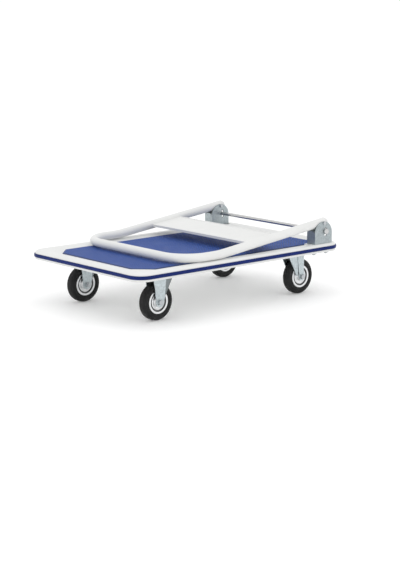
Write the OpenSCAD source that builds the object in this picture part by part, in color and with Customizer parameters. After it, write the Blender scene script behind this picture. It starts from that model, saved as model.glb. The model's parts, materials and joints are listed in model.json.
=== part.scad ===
// Folding platform cart: pressed deck on four casters, with a U handle that folds flat onto the deck.
// Origin: on the ground under the middle of the platform. +X runs towards the hinged end, +Z is up.

/* [Platform] */
// Overall length over the edge bumper
platform_l = 740; // [700:10:800]
// Overall width over the edge bumper
platform_w = 480; // [460:10:520]
// Plan radius of the platform corners, over the bumper
corner_r = 42; // [38:1:48]
// Height of the top of the pressed rim
rim_z = 148.5; // [148:0.5:149]
// Height of the bottom edge of the skirt
skirt_z = 125.5; // [125.5:0.5:127]
// Radius of the rounded shoulder of the rim
shoulder_r = 8; // [7:0.5:8]
// Sheet thickness of the deck tray and the channels
sheet_t = 2; // [1.5:0.5:2]
// Thickness of the anti-slip mat
mat_t = 2; // [1.5:0.5:2]
// Depth of the mat's seat below the rim
seat_depth = 5.5; // [5:0.5:6]
// Leg of the 45 degree cut at each mat corner
mat_chamfer = 40; // [30:1:48]
// Width of the slope from the rim down to the mat
slope_w = 24; // [20:1:26]
// Height of the lower edge of the bumper
bumper_z = 131.4; // [131:0.1:131.6]
// Height of the edge bumper
bumper_h = 9.5; // [8:0.5:9.5]
// Thickness of the edge bumper at its middle
bumper_t = 3; // [3:1:3]

/* [Handle] */
// Outer diameter of the handle tube
tube_d = 24; // [22:0.5:25]
// Wall of the handle tube
tube_wall = 1.5; // [1.2:0.1:2]
// Distance from the cart's middle plane to a handle leg
leg_y = 214.5; // [214:0.5:215]
// X of the set in each folded leg, where it starts to rise to the hinge
set_x = -75; // [-90:1:-60]
// X of the axis of the cross bar, with the handle folded
bar_x = -201; // [-230:1:-201]
// Centre-line radius of the handle's two corner bends
corner_bend_r = 80; // [60:5:80]
// Centre-line radius of the set in each leg
leg_set_r = 300; // [150:10:300]
// Length of the cross panel along the legs
panel_l = 105; // [90:1:110]

/* [Hinge] */
// X of the handle's pivot
pivot_x = 305.5; // [305:0.5:306]
// Height of the handle's pivot
pivot_z = 206; // [205.5:0.5:206.5]
// Thickness of the hinge bracket's steel
bracket_t = 2.5; // [2:0.5:2.5]
// Clear width between the two walls of a bracket
bracket_gap = 26; // [26:0.5:27]
// Radius of the round top of a bracket wall
bracket_r = 33.5; // [33:0.5:34]
// Diameter of the release rod
rod_d = 10; // [10:1:10]
// X of the release rod
rod_x = 310.4; // [310:0.1:311]
// Height of the release rod
rod_z = 182.7; // [182:0.1:183]
// Downward travel of the release rod
rod_travel = 8; // [6:1:8]

/* [Casters] */
// Wheel diameter
wheel_d = 100; // [100:1:100]
// Tyre width
tyre_w = 28; // [26:1:28]
// Distance from the cart's middle plane to a wheel's middle plane
wheel_y = 156; // [150:1:160]
// X of the front wheels
front_wheel_x = -246; // [-250:1:-240]
// X of the rear wheels, trailing behind their swivels
rear_wheel_x = 276; // [274:1:278]
// Trail of the swivel casters
trail = 27; // [25:1:28]
// Length of a caster's top plate
plate_l = 90; // [90:1:92]
// Width of a caster's top plate
plate_w = 80; // [78:1:82]

/* [Hidden] */
$fn = 72;
eps = 0.05;
white = "#eceeed";
zinc = "#b2babd";
steel = "#9aa2a6";
seat_z = rim_z - seat_depth;
skirt_l = platform_l - 2*bumper_t;
skirt_w = platform_w - 2*bumper_t;
skirt_r = corner_r - bumper_t;
bumper_bulge_r = 9;
seam_y = -104;
seam_w = 0.5;
// Mat edges: front, rear and side
mat_x0 = -platform_l/2 + 50.5;
mat_x1 = platform_l/2 - 44;
mat_y = platform_w/2 - 50.5;
mat_play = 0.5;
// Flat seats pressed in the rim under the hinge brackets
bracket_w = bracket_gap + 2*bracket_t;
bracket_x = 302.6;
bracket_x0 = bracket_x - bracket_r;
seat_pad_l = 2*bracket_r + 14;
seat_pad_y = leg_y - bracket_w/2 - 5;
// Cross channels under the deck
web_z = skirt_z;
channel_lip = 12;
channel_half_y = 228;
front_channel_x = [-286, -178];
rear_channel_x = [196, 346];
rail_y = 70;
rail_w = 30;
rail_h = 12;
// Bolts
m8_r = 4;
m8_hole_r = 4.5;
m8_hex_r = 7.5;
m8_head_h = 5.5;
m8_nut_h = 6.5;
bracket_bolt_x = [280.5, 328.5];
bolt_tail = 2.5;
// Hinge
tube_r = tube_d/2;
wall_top_z = 177.5;
web_top_z = 186;
web_corner_r = 8;
pivot_r = 4;
pivot_bore_r = 4.05;
pivot_head_r = 5.2;
pivot_head_h = 2.5;
cam_r = 17.6;
cam_half_w = 12.3;
tube_tail = 8.5;
nose_r = tube_r - 0.1;
slot_play = 0.3;
slot_rise = 6;
rod_half_l = 234;
cap_r = 8;
cap_gap = 0.4;
cap_l = 6;
cap_round = 3;
spring_r = 4.6;
spring_wire_r = 0.7;
spring_turns = 5;
spring_steps = 10;
spring_sides = 6;
// Handle path
rest_gap = 0.3;
flat_z = rim_z + rest_gap + tube_r;
leg_rise = atan((pivot_z - flat_z)/(pivot_x - set_x));
set_t = leg_set_r*tan(leg_rise/2);
leg_l = (pivot_z - flat_z)/sin(leg_rise) - set_t;
panel_near = 158;
panel_z = 3;
panel_t = 1.5;
panel_flange = 7;
panel_half_w = leg_y - tube_r + 0.6;
bead_w = 2.4;
bead_depth = 1;
bead_x = 4.5;
// Wheels
wheel_r = wheel_d/2;
tyre_inner_r = 32;
tyre_shoulder_r = 7;
bead_face = 12.5;
ring_in_r = 25.4;
dish_r = 22;
hub_r = 12;
hub_half_w = 15.8;
bush_r = 9;
axle_r = 4;
axle_bore_r = 4.05;
// Caster forks
leg_in = 16.2;
fork_t = 2.5;
wing_set = 1.6;
front_plate_x = front_wheel_x + 14;
plate_corner_r = 8;
plate_t = 3;
plate_z = web_z - plate_t;
plate_bolt = [70, 58];
crown_z = 110.5;
crown_t = 3;
crown_r = 25;
swivel_x = rear_wheel_x - trail;
race_z = crown_z + crown_t;
race_r = 23;
kingpin_r = 6;
kingpin_bore_r = 6.06;
kingpin_head_r = 9.5;

// ---- shared shapes ----

module both_sides() {
    for (side = [-1, 1]) {
        translate([0, side*leg_y, 0])
            children();
    }
}

module rounded_plan(l, w, r) {
    square([l - 2*r, w], center = true);
    square([l, w - 2*r], center = true);
    for (sx = [-1, 1], sy = [-1, 1]) {
        translate([sx*(l/2 - r), sy*(w/2 - r)])
            circle(r);
    }
}

// A rounded slab whose top edge is rounded with radius s.
module domed_slab(l, w, r, z0, z1, s) {
    translate([0, 0, z0])
        linear_extrude(z1 - s - z0) rounded_plan(l, w, r);
    translate([0, 0, z0])
        linear_extrude(z1 - z0) rounded_plan(l - 2*s, w - 2*s, r - s);
    for (sy = [-1, 1]) {
        translate([0, sy*(w/2 - s), z1 - s])
            rotate([0, 90, 0]) cylinder(r = s, h = l - 2*r, center = true);
    }
    for (sx = [-1, 1]) {
        translate([sx*(l/2 - s), 0, z1 - s])
            rotate([90, 0, 0]) cylinder(r = s, h = w - 2*r, center = true);
    }
    for (sx = [-1, 1], sy = [-1, 1]) {
        translate([sx*(l/2 - r), sy*(w/2 - r), z1 - s])
            rotate_extrude() translate([r - s, 0]) circle(s);
    }
}

function mat_outline(d, z) = let (c = mat_chamfer + d*(2 - sqrt(2)), x0 = mat_x0 - d, x1 = mat_x1 + d, y = mat_y + d)
    [[x0 + c, -y, z], [x1 - c, -y, z], [x1, -y + c, z], [x1, y - c, z],
     [x1 - c, y, z], [x0 + c, y, z], [x0, y - c, z], [x0, -y + c, z]];

// The sloping recess that the mat lies in, grown sideways by d and down to z0.
module mat_recess(d, z0) {
    n = 8;
    rise = rim_z - seat_z;
    polyhedron(
        points = concat(mat_outline(mat_play + d, z0), mat_outline(mat_play + d + 2*slope_w, z0 + 2*rise)),
        faces = concat([[for (i = [0:n - 1]) i]], [[for (i = [n - 1:-1:0]) n + i]],
            [for (i = [0:n - 1]) [(i + 1) % n, i, n + i, n + (i + 1) % n]])
    );
}

module hex_prism(r, h) {
    cylinder(r = r, h = h, $fn = 6);
}

// Shank along -Z from the origin with a hexagon head above it.
module hex_bolt(shank_r, l, head_r, head_h) {
    hex_prism(head_r, head_h);
    translate([0, 0, -l]) cylinder(r = shank_r, h = l + eps);
}

module hex_nut(hex_r, bore_r, h) {
    difference() {
        hex_prism(hex_r, h);
        translate([0, 0, -1]) cylinder(r = bore_r, h = h + 2);
    }
}

// ---- platform ----

module pad_boxes(grow) {
    for (side = [-1, 1]) {
        translate([bracket_x - seat_pad_l/2 - grow, side > 0 ? seat_pad_y - grow : -platform_w/2, seat_z - 5])
            cube([seat_pad_l + 2*grow, platform_w/2 - seat_pad_y + grow, 20]);
    }
}

module bracket_bolt_places() {
    both_sides() for (x = bracket_bolt_x) {
        translate([x, 0, 0])
            children();
    }
}

module deck_tray() {
    color(white) difference() {
        domed_slab(skirt_l, skirt_w, skirt_r, skirt_z, rim_z, shoulder_r);
        difference() {
            mat_recess(0, seat_z);
            pad_boxes(0);
        }
        difference() {
            domed_slab(skirt_l - 2*sheet_t, skirt_w - 2*sheet_t, skirt_r - sheet_t,
                skirt_z - 1, rim_z - sheet_t, shoulder_r - sheet_t);
            difference() {
                mat_recess(sheet_t, seat_z - sheet_t);
                pad_boxes(-sheet_t);
            }
        }
        bracket_bolt_places() translate([0, 0, rim_z - 10]) cylinder(r = m8_hole_r, h = 20);
    }
}

module deck_mat() {
    color("#4d69a3") translate([0, 0, seat_z]) linear_extrude(mat_t)
        polygon([for (p = mat_outline(0, 0)) [p.x, p.y]]);
}

module bumper_profile() {
    intersection() {
        translate([bumper_t - bumper_bulge_r, 0]) circle(bumper_bulge_r);
        translate([0, -bumper_h/2]) square([bumper_t, bumper_h]);
    }
}

module edge_bumper() {
    color("#12336f") difference() {
        translate([0, 0, bumper_z + bumper_h/2]) {
            for (turn = [0, 180]) rotate([0, 0, turn]) {
                translate([skirt_l/2, skirt_w/2 - skirt_r, 0])
                    rotate([90, 0, 0]) linear_extrude(skirt_w - 2*skirt_r) bumper_profile();
                translate([-skirt_l/2 + skirt_r, skirt_w/2, 0])
                    rotate([90, 0, 90]) linear_extrude(skirt_l - 2*skirt_r) bumper_profile();
                for (sy = [-1, 1]) {
                    translate([skirt_l/2 - skirt_r, sy*(skirt_w/2 - skirt_r), 0])
                        rotate([0, 0, sy > 0 ? 0 : -90])
                            rotate_extrude(angle = 90) translate([skirt_r, 0]) bumper_profile();
                }
            }
        }
        translate([-platform_l/2 - 1, seam_y, bumper_z - 1])
            cube([bumper_t + 2, seam_w, bumper_h + 2]);
    }
}

// Hat channel across the deck: flat bottom web, two sides and two lips under the deck sheet.
module cross_channel(x) {
    depth = seat_z - sheet_t - web_z;
    translate([x[0], -channel_half_y, web_z]) cube([x[1] - x[0], 2*channel_half_y, sheet_t]);
    for (edge = [x[0], x[1] - sheet_t]) {
        translate([edge, -channel_half_y, web_z]) cube([sheet_t, 2*channel_half_y, depth]);
    }
    for (edge = [x[0] - channel_lip, x[1] - sheet_t]) {
        translate([edge, -mat_y + 10, web_z + depth - sheet_t])
            cube([channel_lip + sheet_t, 2*(mat_y - 10), sheet_t]);
    }
}

module plate_bolt_places(x) {
    for (side = [-1, 1], sx = [-1, 1], sy = [-1, 1]) {
        translate([x + sx*plate_bolt.x/2, side*wheel_y + sy*plate_bolt.y/2, 0])
            children();
    }
}

module front_channel() {
    color(white) difference() {
        cross_channel(front_channel_x);
        plate_bolt_places(front_plate_x) translate([0, 0, web_z - 1]) cylinder(r = m8_hole_r, h = sheet_t + 2);
    }
}

module rear_channel() {
    color(white) difference() {
        union() {
            cross_channel(rear_channel_x);
            bracket_bolt_places() translate([0, 0, web_z])
                cylinder(r = m8_hole_r + 3, h = rim_z - sheet_t - web_z);
        }
        plate_bolt_places(swivel_x) translate([0, 0, web_z - 1]) cylinder(r = m8_hole_r, h = sheet_t + 2);
        bracket_bolt_places() translate([0, 0, web_z - 1]) cylinder(r = m8_hole_r, h = 30);
    }
}

module stiffener_rails() {
    x0 = front_channel_x[1] + channel_lip + 2;
    x1 = rear_channel_x[0] - channel_lip - 2;
    z0 = seat_z - sheet_t - rail_h;
    color(white) for (side = [-1, 1]) {
        translate([x0, side*rail_y - rail_w/2, z0]) difference() {
            cube([x1 - x0, rail_w, rail_h]);
            translate([-1, sheet_t, sheet_t]) cube([x1 - x0 + 2, rail_w - 2*sheet_t, rail_h]);
        }
    }
}

// ---- hinge brackets and release rod ----

module wall_outline() {
    translate([bracket_x0, rim_z]) square([2*bracket_r, wall_top_z - rim_z]);
    intersection() {
        translate([bracket_x, wall_top_z]) circle(bracket_r);
        translate([bracket_x0, rim_z]) square([2*bracket_r, 2*bracket_r]);
    }
}

module rod_slot_outline() {
    r = rod_d/2 + slot_play;
    for (z = [rod_z + slot_rise, rod_z - rod_travel]) {
        translate([rod_x, z]) circle(r);
    }
    translate([rod_x - r, rod_z - rod_travel]) square([2*r, rod_travel + slot_rise]);
}

module hinge_bracket() {
    difference() {
        union() {
            for (y = [-bracket_w/2, bracket_gap/2]) {
                translate([0, y + bracket_t, 0]) rotate([90, 0, 0]) linear_extrude(bracket_t) difference() {
                    wall_outline();
                    rod_slot_outline();
                    translate([pivot_x, pivot_z]) circle(pivot_bore_r);
                }
            }
            translate([bracket_x0, -bracket_gap/2 - eps, rim_z])
                cube([2*bracket_r, bracket_gap + 2*eps, bracket_t]);
            translate([bracket_x0, 0, 0]) rotate([90, 0, 90]) linear_extrude(bracket_t) {
                translate([-bracket_gap/2 - eps, rim_z])
                    square([bracket_gap + 2*eps, web_top_z - web_corner_r - rim_z]);
                translate([-bracket_gap/2 + web_corner_r, rim_z])
                    square([bracket_gap - 2*web_corner_r, web_top_z - rim_z]);
                for (y = [-1, 1]) {
                    translate([y*(bracket_gap/2 - web_corner_r), web_top_z - web_corner_r])
                        circle(web_corner_r);
                }
            }
        }
        for (x = bracket_bolt_x) {
            translate([x, 0, rim_z - 1]) cylinder(r = m8_hole_r, h = bracket_t + 2);
        }
    }
}

module left_hinge_bracket() {
    color(zinc) translate([0, leg_y, 0]) hinge_bracket();
}

module right_hinge_bracket() {
    color(zinc) translate([0, -leg_y, 0]) hinge_bracket();
}

module bracket_bolts() {
    color(steel) bracket_bolt_places() translate([0, 0, rim_z + bracket_t])
        hex_bolt(m8_r, rim_z + bracket_t - web_z + m8_nut_h + bolt_tail, m8_hex_r, m8_head_h);
}

module bracket_nuts() {
    color(steel) bracket_bolt_places() translate([0, 0, web_z - m8_nut_h])
        hex_nut(m8_hex_r, m8_r, m8_nut_h);
}

// The bolt head is on the outer side of each bracket, so the left one is turned round.
module pivot_places() {
    for (side = [-1, 1]) {
        translate([pivot_x, side*leg_y, pivot_z]) rotate([side*-90, 0, 0])
            children();
    }
}

module pivot_bolts() {
    color(steel) pivot_places() translate([0, 0, -bracket_w/2 - pivot_head_h - 1]) {
        cylinder(r = pivot_r, h = bracket_w + pivot_head_h + 1 + eps);
        translate([0, 0, bracket_w + pivot_head_h + 1]) cylinder(r = pivot_head_r, h = pivot_head_h);
    }
}

module pivot_nuts() {
    color(steel) pivot_places() translate([0, 0, -bracket_w/2 - pivot_head_h]) difference() {
        cylinder(r = pivot_head_r, h = pivot_head_h);
        translate([0, 0, -1]) cylinder(r = pivot_r, h = pivot_head_h + 2);
    }
}

module release_rod() {
    color(zinc) translate([rod_x, 0, rod_z])
        rotate([90, 0, 0]) cylinder(r = rod_d/2, h = 2*rod_half_l, center = true);
}

module release_rod_caps() {
    color(zinc) for (side = [-1, 1]) {
        translate([rod_x, side*(leg_y + bracket_w/2 + cap_gap), rod_z]) rotate([side*-90, 0, 0])
            difference() {
                rotate_extrude() union() {
                    square([cap_r, cap_l - cap_round]);
                    square([cap_r - cap_round, cap_l]);
                    translate([cap_r - cap_round, cap_l - cap_round]) intersection() {
                        circle(cap_round);
                        square(cap_round);
                    }
                }
                translate([0, 0, -1]) cylinder(r = rod_d/2, h = rod_half_l - leg_y - bracket_w/2 - cap_gap + 1);
            }
    }
}

function coil_point(i, j, h) = let (a = 360*i/spring_steps, b = 360*j/spring_sides, r = spring_r + spring_wire_r*cos(b))
    [r*cos(a), r*sin(a), spring_wire_r + i*h/(spring_turns*spring_steps) + spring_wire_r*sin(b)];

module coil_spring(h) {
    n = spring_turns*spring_steps;
    m = spring_sides;
    polyhedron(
        points = [for (i = [0:n], j = [0:m - 1]) coil_point(i, j, h - 2*spring_wire_r)],
        faces = concat([[for (j = [0:m - 1]) j]], [[for (j = [m - 1:-1:0]) n*m + j]],
            [for (i = [0:n - 1], j = [0:m - 1]) [i*m + (j + 1) % m, i*m + j, (i + 1)*m + j]],
            [for (i = [0:n - 1], j = [0:m - 1]) [i*m + (j + 1) % m, (i + 1)*m + j, (i + 1)*m + (j + 1) % m]])
    );
}

module release_springs() {
    z0 = rim_z + bracket_t;
    color(steel) both_sides() translate([rod_x, 0, z0]) coil_spring(rod_z - rod_d/2 - z0 - 0.1);
}

// ---- folding handle, drawn folded onto the deck ----

// Frame of one handle leg: origin at the pivot, -X towards the grip.
module leg_frame() {
    translate([pivot_x, 0, pivot_z]) rotate([0, -leg_rise, 0])
        children();
}

// The tube's section, with its wall or solid.
module tube_section(solid) {
    difference() {
        circle(tube_r);
        if (!solid) circle(tube_r - tube_wall);
    }
}

// The handle's centre line swept with the tube's section: two legs, two set bends, two corners, one bar.
module handle_path() {
    for (side = [-1, 1]) {
        translate([0, side*leg_y, 0]) {
            leg_frame() translate([-leg_l, 0, 0]) rotate([0, 90, 0])
                linear_extrude(leg_l + tube_tail) tube_section(false);
            translate([set_x - set_t, 0, flat_z + leg_set_r]) rotate([90, 0, 0])
                rotate([0, 0, -90]) rotate_extrude(angle = leg_rise) translate([leg_set_r, 0]) tube_section(false);
            translate([bar_x + corner_bend_r, 0, flat_z]) rotate([0, 90, 0])
                linear_extrude(set_x - set_t - bar_x - corner_bend_r) tube_section(false);
        }
        translate([bar_x + corner_bend_r, side*(leg_y - corner_bend_r), flat_z])
            rotate([0, 0, side > 0 ? 90 : 180]) rotate_extrude(angle = 90)
                translate([corner_bend_r, 0]) tube_section(false);
    }
    translate([bar_x, leg_y - corner_bend_r, flat_z]) rotate([90, 0, 0])
        linear_extrude(2*(leg_y - corner_bend_r)) tube_section(false);
}

module handle_tube() {
    color(white) difference() {
        handle_path();
        translate([pivot_x, 0, pivot_z]) rotate([90, 0, 0])
            cylinder(r = pivot_bore_r, h = platform_w, center = true);
    }
}

module handle_panel() {
    color(white) leg_frame() difference() {
        translate([-panel_near - panel_l, -panel_half_w, panel_z - panel_flange]) difference() {
            cube([panel_l, 2*panel_half_w, panel_flange]);
            translate([panel_t, -1, -1])
                cube([panel_l - 2*panel_t, 2*panel_half_w + 2, panel_flange - panel_t + 1]);
            translate([panel_l - bead_x - bead_w, tube_r, panel_flange - bead_depth])
                cube([bead_w, 2*panel_half_w - 2*tube_r, 2*bead_depth]);
        }
        for (side = [-1, 1]) {
            translate([-leg_l, side*leg_y, 0]) rotate([0, 90, 0])
                linear_extrude(leg_l + tube_tail) tube_section(true);
        }
    }
}

// End fittings: a half disc under the tube that turns about the pivot, and a round nose past the tube's end.
module hinge_end_cams() {
    color(white) both_sides() leg_frame() {
        difference() {
            translate([0, cam_half_w, 0]) rotate([90, 0, 0]) linear_extrude(2*cam_half_w) difference() {
                circle(cam_r);
                translate([-2*cam_r, 0]) square([4*cam_r, 2*cam_r]);
                circle(pivot_bore_r);
            }
            translate([-2*cam_r, 0, 0]) rotate([0, 90, 0])
                linear_extrude(2*cam_r + tube_tail) tube_section(true);
        }
        intersection() {
            rotate([90, 0, 0]) cylinder(r = cam_r, h = 2*tube_r, center = true);
            translate([tube_tail, 0, 0]) rotate([0, 90, 0]) cylinder(r = nose_r, h = cam_r);
        }
    }
}

// ---- casters ----

module top_plate(x, side) {
    translate([x, side*wheel_y, plate_z]) linear_extrude(plate_t) difference() {
        rounded_plan(plate_l, plate_w, plate_corner_r);
        for (sx = [-1, 1], sy = [-1, 1]) {
            translate([sx*plate_bolt.x/2, sy*plate_bolt.y/2])
                circle(m8_hole_r);
        }
    }
}

// Both legs of a fork about the axle: a strap round the axle and a wing pressed a little inwards.
module fork_legs(strap, wing, tip_r) {
    for (side = [-1, 1]) {
        translate([0, side*(leg_in + fork_t/2) + fork_t/2, 0]) rotate([90, 0, 0])
            linear_extrude(fork_t) difference() {
                union() {
                    polygon(strap);
                    circle(tip_r);
                }
                circle(m8_r);
            }
        translate([0, side*(leg_in + fork_t/2 - wing_set) + fork_t/2, 0]) rotate([90, 0, 0])
            linear_extrude(fork_t) polygon(wing);
    }
}

module fixed_fork(side) {
    top = plate_z + eps - wheel_r;
    color(zinc) {
        top_plate(front_plate_x, side);
        translate([front_wheel_x, side*wheel_y, wheel_r])
            fork_legs([[-12.6, 3], [-21, top], [22, top], [16, 8], [12.9, 0]],
                [[15, 8], [20, top], [50, top], [17, 11]], 13);
    }
}

module front_left_fork() {
    fixed_fork(1);
}

module front_right_fork() {
    fixed_fork(-1);
}

module axle_bolt(x, side) {
    l = 2*(leg_in + fork_t) + m8_nut_h + bolt_tail;
    translate([x, side*(wheel_y + leg_in + fork_t), wheel_r]) rotate([side*-90, 0, 0])
        hex_bolt(axle_r, l, m8_hex_r, m8_head_h);
}

module axle_nut(x, side) {
    translate([x, side*(wheel_y - leg_in - fork_t), wheel_r]) rotate([side*90, 0, 0])
        hex_nut(m8_hex_r, axle_r, m8_nut_h);
}

module front_axles() {
    color(steel) for (side = [-1, 1]) axle_bolt(front_wheel_x, side);
}

module front_axle_nuts() {
    color(steel) for (side = [-1, 1]) axle_nut(front_wheel_x, side);
}

module swivel_top_plates() {
    color(zinc) for (side = [-1, 1]) top_plate(swivel_x, side);
}

module swivel_kingpins() {
    color(steel) for (side = [-1, 1]) translate([swivel_x, side*wheel_y, 0]) {
        translate([0, 0, crown_z - 1]) cylinder(r = kingpin_r, h = plate_z - crown_z + 1);
        translate([0, 0, crown_z - 4.3]) cylinder(r = kingpin_head_r, h = 4);
    }
}

module caster_bolts() {
    color(steel) for (x = [front_plate_x, swivel_x]) plate_bolt_places(x)
        translate([0, 0, web_z + sheet_t])
            hex_bolt(m8_r, sheet_t + plate_t + m8_nut_h + 1, m8_hex_r, m8_head_h);
}

module caster_nuts() {
    color(steel) for (x = [front_plate_x, swivel_x]) plate_bolt_places(x)
        translate([0, 0, plate_z - m8_nut_h]) hex_nut(m8_hex_r, m8_r, m8_nut_h);
}

module swivel_fork(side) {
    top = crown_z + crown_t - wheel_r;
    color(zinc) difference() {
        union() {
            translate([rear_wheel_x, side*wheel_y, wheel_r])
                fork_legs([[-11, 0], [-18, top], [7, top], [7, 22], [10.9, 0]],
                    [[-14, 4], [-20, 4], [-trail - 21, top - 4], [-trail - 21, top], [-16, top]], 11);
            translate([swivel_x, side*wheel_y, crown_z]) {
                cylinder(r = crown_r, h = crown_t);
                translate([-21, -leg_in - eps, 0]) cube([trail + 26, 2*(leg_in + eps), crown_t]);
            }
        }
        translate([swivel_x, side*wheel_y, crown_z - 1]) cylinder(r = kingpin_bore_r, h = crown_t + 2);
    }
}

module swivel_race(side) {
    h = plate_z - 0.4 - race_z;
    color(steel) translate([swivel_x, side*wheel_y, race_z]) rotate_extrude() union() {
        translate([kingpin_r + 3, 0]) square([race_r - kingpin_r - 3 - h/2, h]);
        translate([race_r - h/2, h/2]) circle(h/2);
    }
}

module left_swivel_fork() {
    swivel_fork(1);
}

module right_swivel_fork() {
    swivel_fork(-1);
}

module left_swivel_race() {
    swivel_race(1);
}

module right_swivel_race() {
    swivel_race(-1);
}

module left_axle() {
    color(steel) axle_bolt(rear_wheel_x, 1);
}

module right_axle() {
    color(steel) axle_bolt(rear_wheel_x, -1);
}

module left_axle_nut() {
    color(steel) axle_nut(rear_wheel_x, 1);
}

module right_axle_nut() {
    color(steel) axle_nut(rear_wheel_x, -1);
}

// ---- wheels ----

module wheel_place(x, side) {
    translate([x, side*wheel_y, wheel_r]) rotate([90, 0, 0])
        children();
}

module tyre(x, side) {
    s = tyre_shoulder_r;
    color("#2b2c2e") wheel_place(x, side) rotate_extrude() difference() {
        union() {
            translate([tyre_inner_r, -tyre_w/2]) square([wheel_r - s - tyre_inner_r, tyre_w]);
            translate([wheel_r - s - eps, -tyre_w/2 + s]) square([s + eps, tyre_w - 2*s]);
            for (z = [-1, 1]) {
                translate([wheel_r - s, z*(tyre_w/2 - s)]) circle(s);
            }
        }
        translate([0, -tyre_w]) square([tyre_inner_r, 2*tyre_w]);
    }
}

// Pressed rim: a raised outer ring, a groove, a dished disc and a plain hub barrel.
module rim(x, side) {
    color("#c9cdcf") wheel_place(x, side) rotate_extrude() difference() {
        union() {
            translate([bush_r, -hub_half_w]) square([hub_r - bush_r, 2*hub_half_w]);
            translate([bush_r, -10]) square([dish_r - bush_r, 20]);
            translate([dish_r - eps, -5]) square([ring_in_r - dish_r + 2*eps, 10]);
            translate([ring_in_r, -bead_face]) square([tyre_inner_r - ring_in_r, 2*bead_face]);
        }
        for (z = [-1, 1]) {
            translate([hub_r + 4, z*10]) circle(1.4);
        }
    }
}

module bush(x, side) {
    color(steel) wheel_place(x, side) difference() {
        cylinder(r = bush_r, h = 2*hub_half_w - 0.6, center = true);
        cylinder(r = axle_bore_r, h = 2*hub_half_w, center = true);
    }
}

deck_tray();
deck_mat();
edge_bumper();
front_channel();
rear_channel();
stiffener_rails();
left_hinge_bracket();
right_hinge_bracket();
bracket_bolts();
bracket_nuts();
pivot_bolts();
pivot_nuts();
release_springs();
front_left_fork();
front_right_fork();
front_axles();
front_axle_nuts();
swivel_top_plates();
swivel_kingpins();
caster_bolts();
caster_nuts();
handle_tube();
handle_panel();
hinge_end_cams();
release_rod();
release_rod_caps();
left_swivel_fork();
left_swivel_race();
left_axle();
left_axle_nut();
right_swivel_fork();
right_swivel_race();
right_axle();
right_axle_nut();
tyre(front_wheel_x, 1);  // front_left_tyre
rim(front_wheel_x, 1);  // front_left_rim
bush(front_wheel_x, 1);  // front_left_bush
tyre(front_wheel_x, -1);  // front_right_tyre
rim(front_wheel_x, -1);  // front_right_rim
bush(front_wheel_x, -1);  // front_right_bush
tyre(rear_wheel_x, 1);  // rear_left_tyre
rim(rear_wheel_x, 1);  // rear_left_rim
bush(rear_wheel_x, 1);  // rear_left_bush
tyre(rear_wheel_x, -1);  // rear_right_tyre
rim(rear_wheel_x, -1);  // rear_right_rim
bush(rear_wheel_x, -1);  // rear_right_bush
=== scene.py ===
"""Looks of a folding platform cart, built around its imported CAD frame."""

import json
import math

import bmesh
import bpy
from bpy.props import FloatProperty, FloatVectorProperty, IntProperty, PointerProperty
from mathutils import Matrix, Vector

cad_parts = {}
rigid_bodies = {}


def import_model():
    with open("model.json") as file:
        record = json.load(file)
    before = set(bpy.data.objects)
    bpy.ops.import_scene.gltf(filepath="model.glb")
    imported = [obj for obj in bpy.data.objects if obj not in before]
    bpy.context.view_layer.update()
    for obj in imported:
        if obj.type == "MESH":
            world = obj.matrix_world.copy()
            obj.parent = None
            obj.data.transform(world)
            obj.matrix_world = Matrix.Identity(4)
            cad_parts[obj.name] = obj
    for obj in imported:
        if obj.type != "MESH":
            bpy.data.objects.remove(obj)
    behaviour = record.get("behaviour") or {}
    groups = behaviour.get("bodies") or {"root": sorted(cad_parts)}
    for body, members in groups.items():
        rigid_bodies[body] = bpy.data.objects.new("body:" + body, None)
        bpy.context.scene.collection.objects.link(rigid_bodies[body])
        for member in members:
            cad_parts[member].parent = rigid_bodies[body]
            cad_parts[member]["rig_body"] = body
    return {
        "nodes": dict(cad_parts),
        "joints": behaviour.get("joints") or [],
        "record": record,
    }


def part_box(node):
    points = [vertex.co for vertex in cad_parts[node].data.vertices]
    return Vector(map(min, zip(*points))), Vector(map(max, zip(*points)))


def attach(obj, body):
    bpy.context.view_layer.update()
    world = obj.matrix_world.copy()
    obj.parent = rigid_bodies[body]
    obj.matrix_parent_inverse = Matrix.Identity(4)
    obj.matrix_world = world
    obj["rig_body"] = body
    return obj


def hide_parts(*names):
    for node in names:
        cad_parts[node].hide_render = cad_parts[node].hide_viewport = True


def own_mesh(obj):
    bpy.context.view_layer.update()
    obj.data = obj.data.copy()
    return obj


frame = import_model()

bl_info = {
    "name": "Folding platform cart",
    "version": (1, 0, 0),
    "blender": (4, 5, 0),
    "location": "View3D > Sidebar > Cart",
    "description": "Builds the finished pieces, paints and stage of a folding platform cart",
    "category": "Object",
}

MERGE = 1e-5
SHARP_ANGLE = math.radians(32)
# Face value that holds painted shade; plated parts are painted darker where it is set.
PAINTED_SHADE_ATTRIBUTE = "dull"
WHEELS = ("front_left", "front_right", "rear_left", "rear_right")
CORNERS = ((1, 1), (-1, 1), (-1, -1), (1, -1))
TRAY_LOW, TRAY_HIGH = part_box("deck_tray")
MAT_LOW, MAT_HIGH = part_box("deck_mat")
BUMPER_LOW, BUMPER_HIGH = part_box("edge_bumper")
JOINTS = {joint["name"]: joint for joint in frame["joints"]}
SLOT_OF = {part["node"]: part["material_slot"] for part in frame["record"]["subparts"]}


# ---------------------------------------------------------------- sizes and colours


def length(name, default, description):
    """A length in metres that a user can change."""
    return FloatProperty(
        name=name, default=default, min=0.0, unit="LENGTH", precision=5, description=description
    )


def colour(name, default, description):
    """A linear colour that a user can change."""
    return FloatVectorProperty(
        name=name, default=default, size=3, min=0.0, max=1.0, subtype="COLOR", description=description
    )


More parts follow.
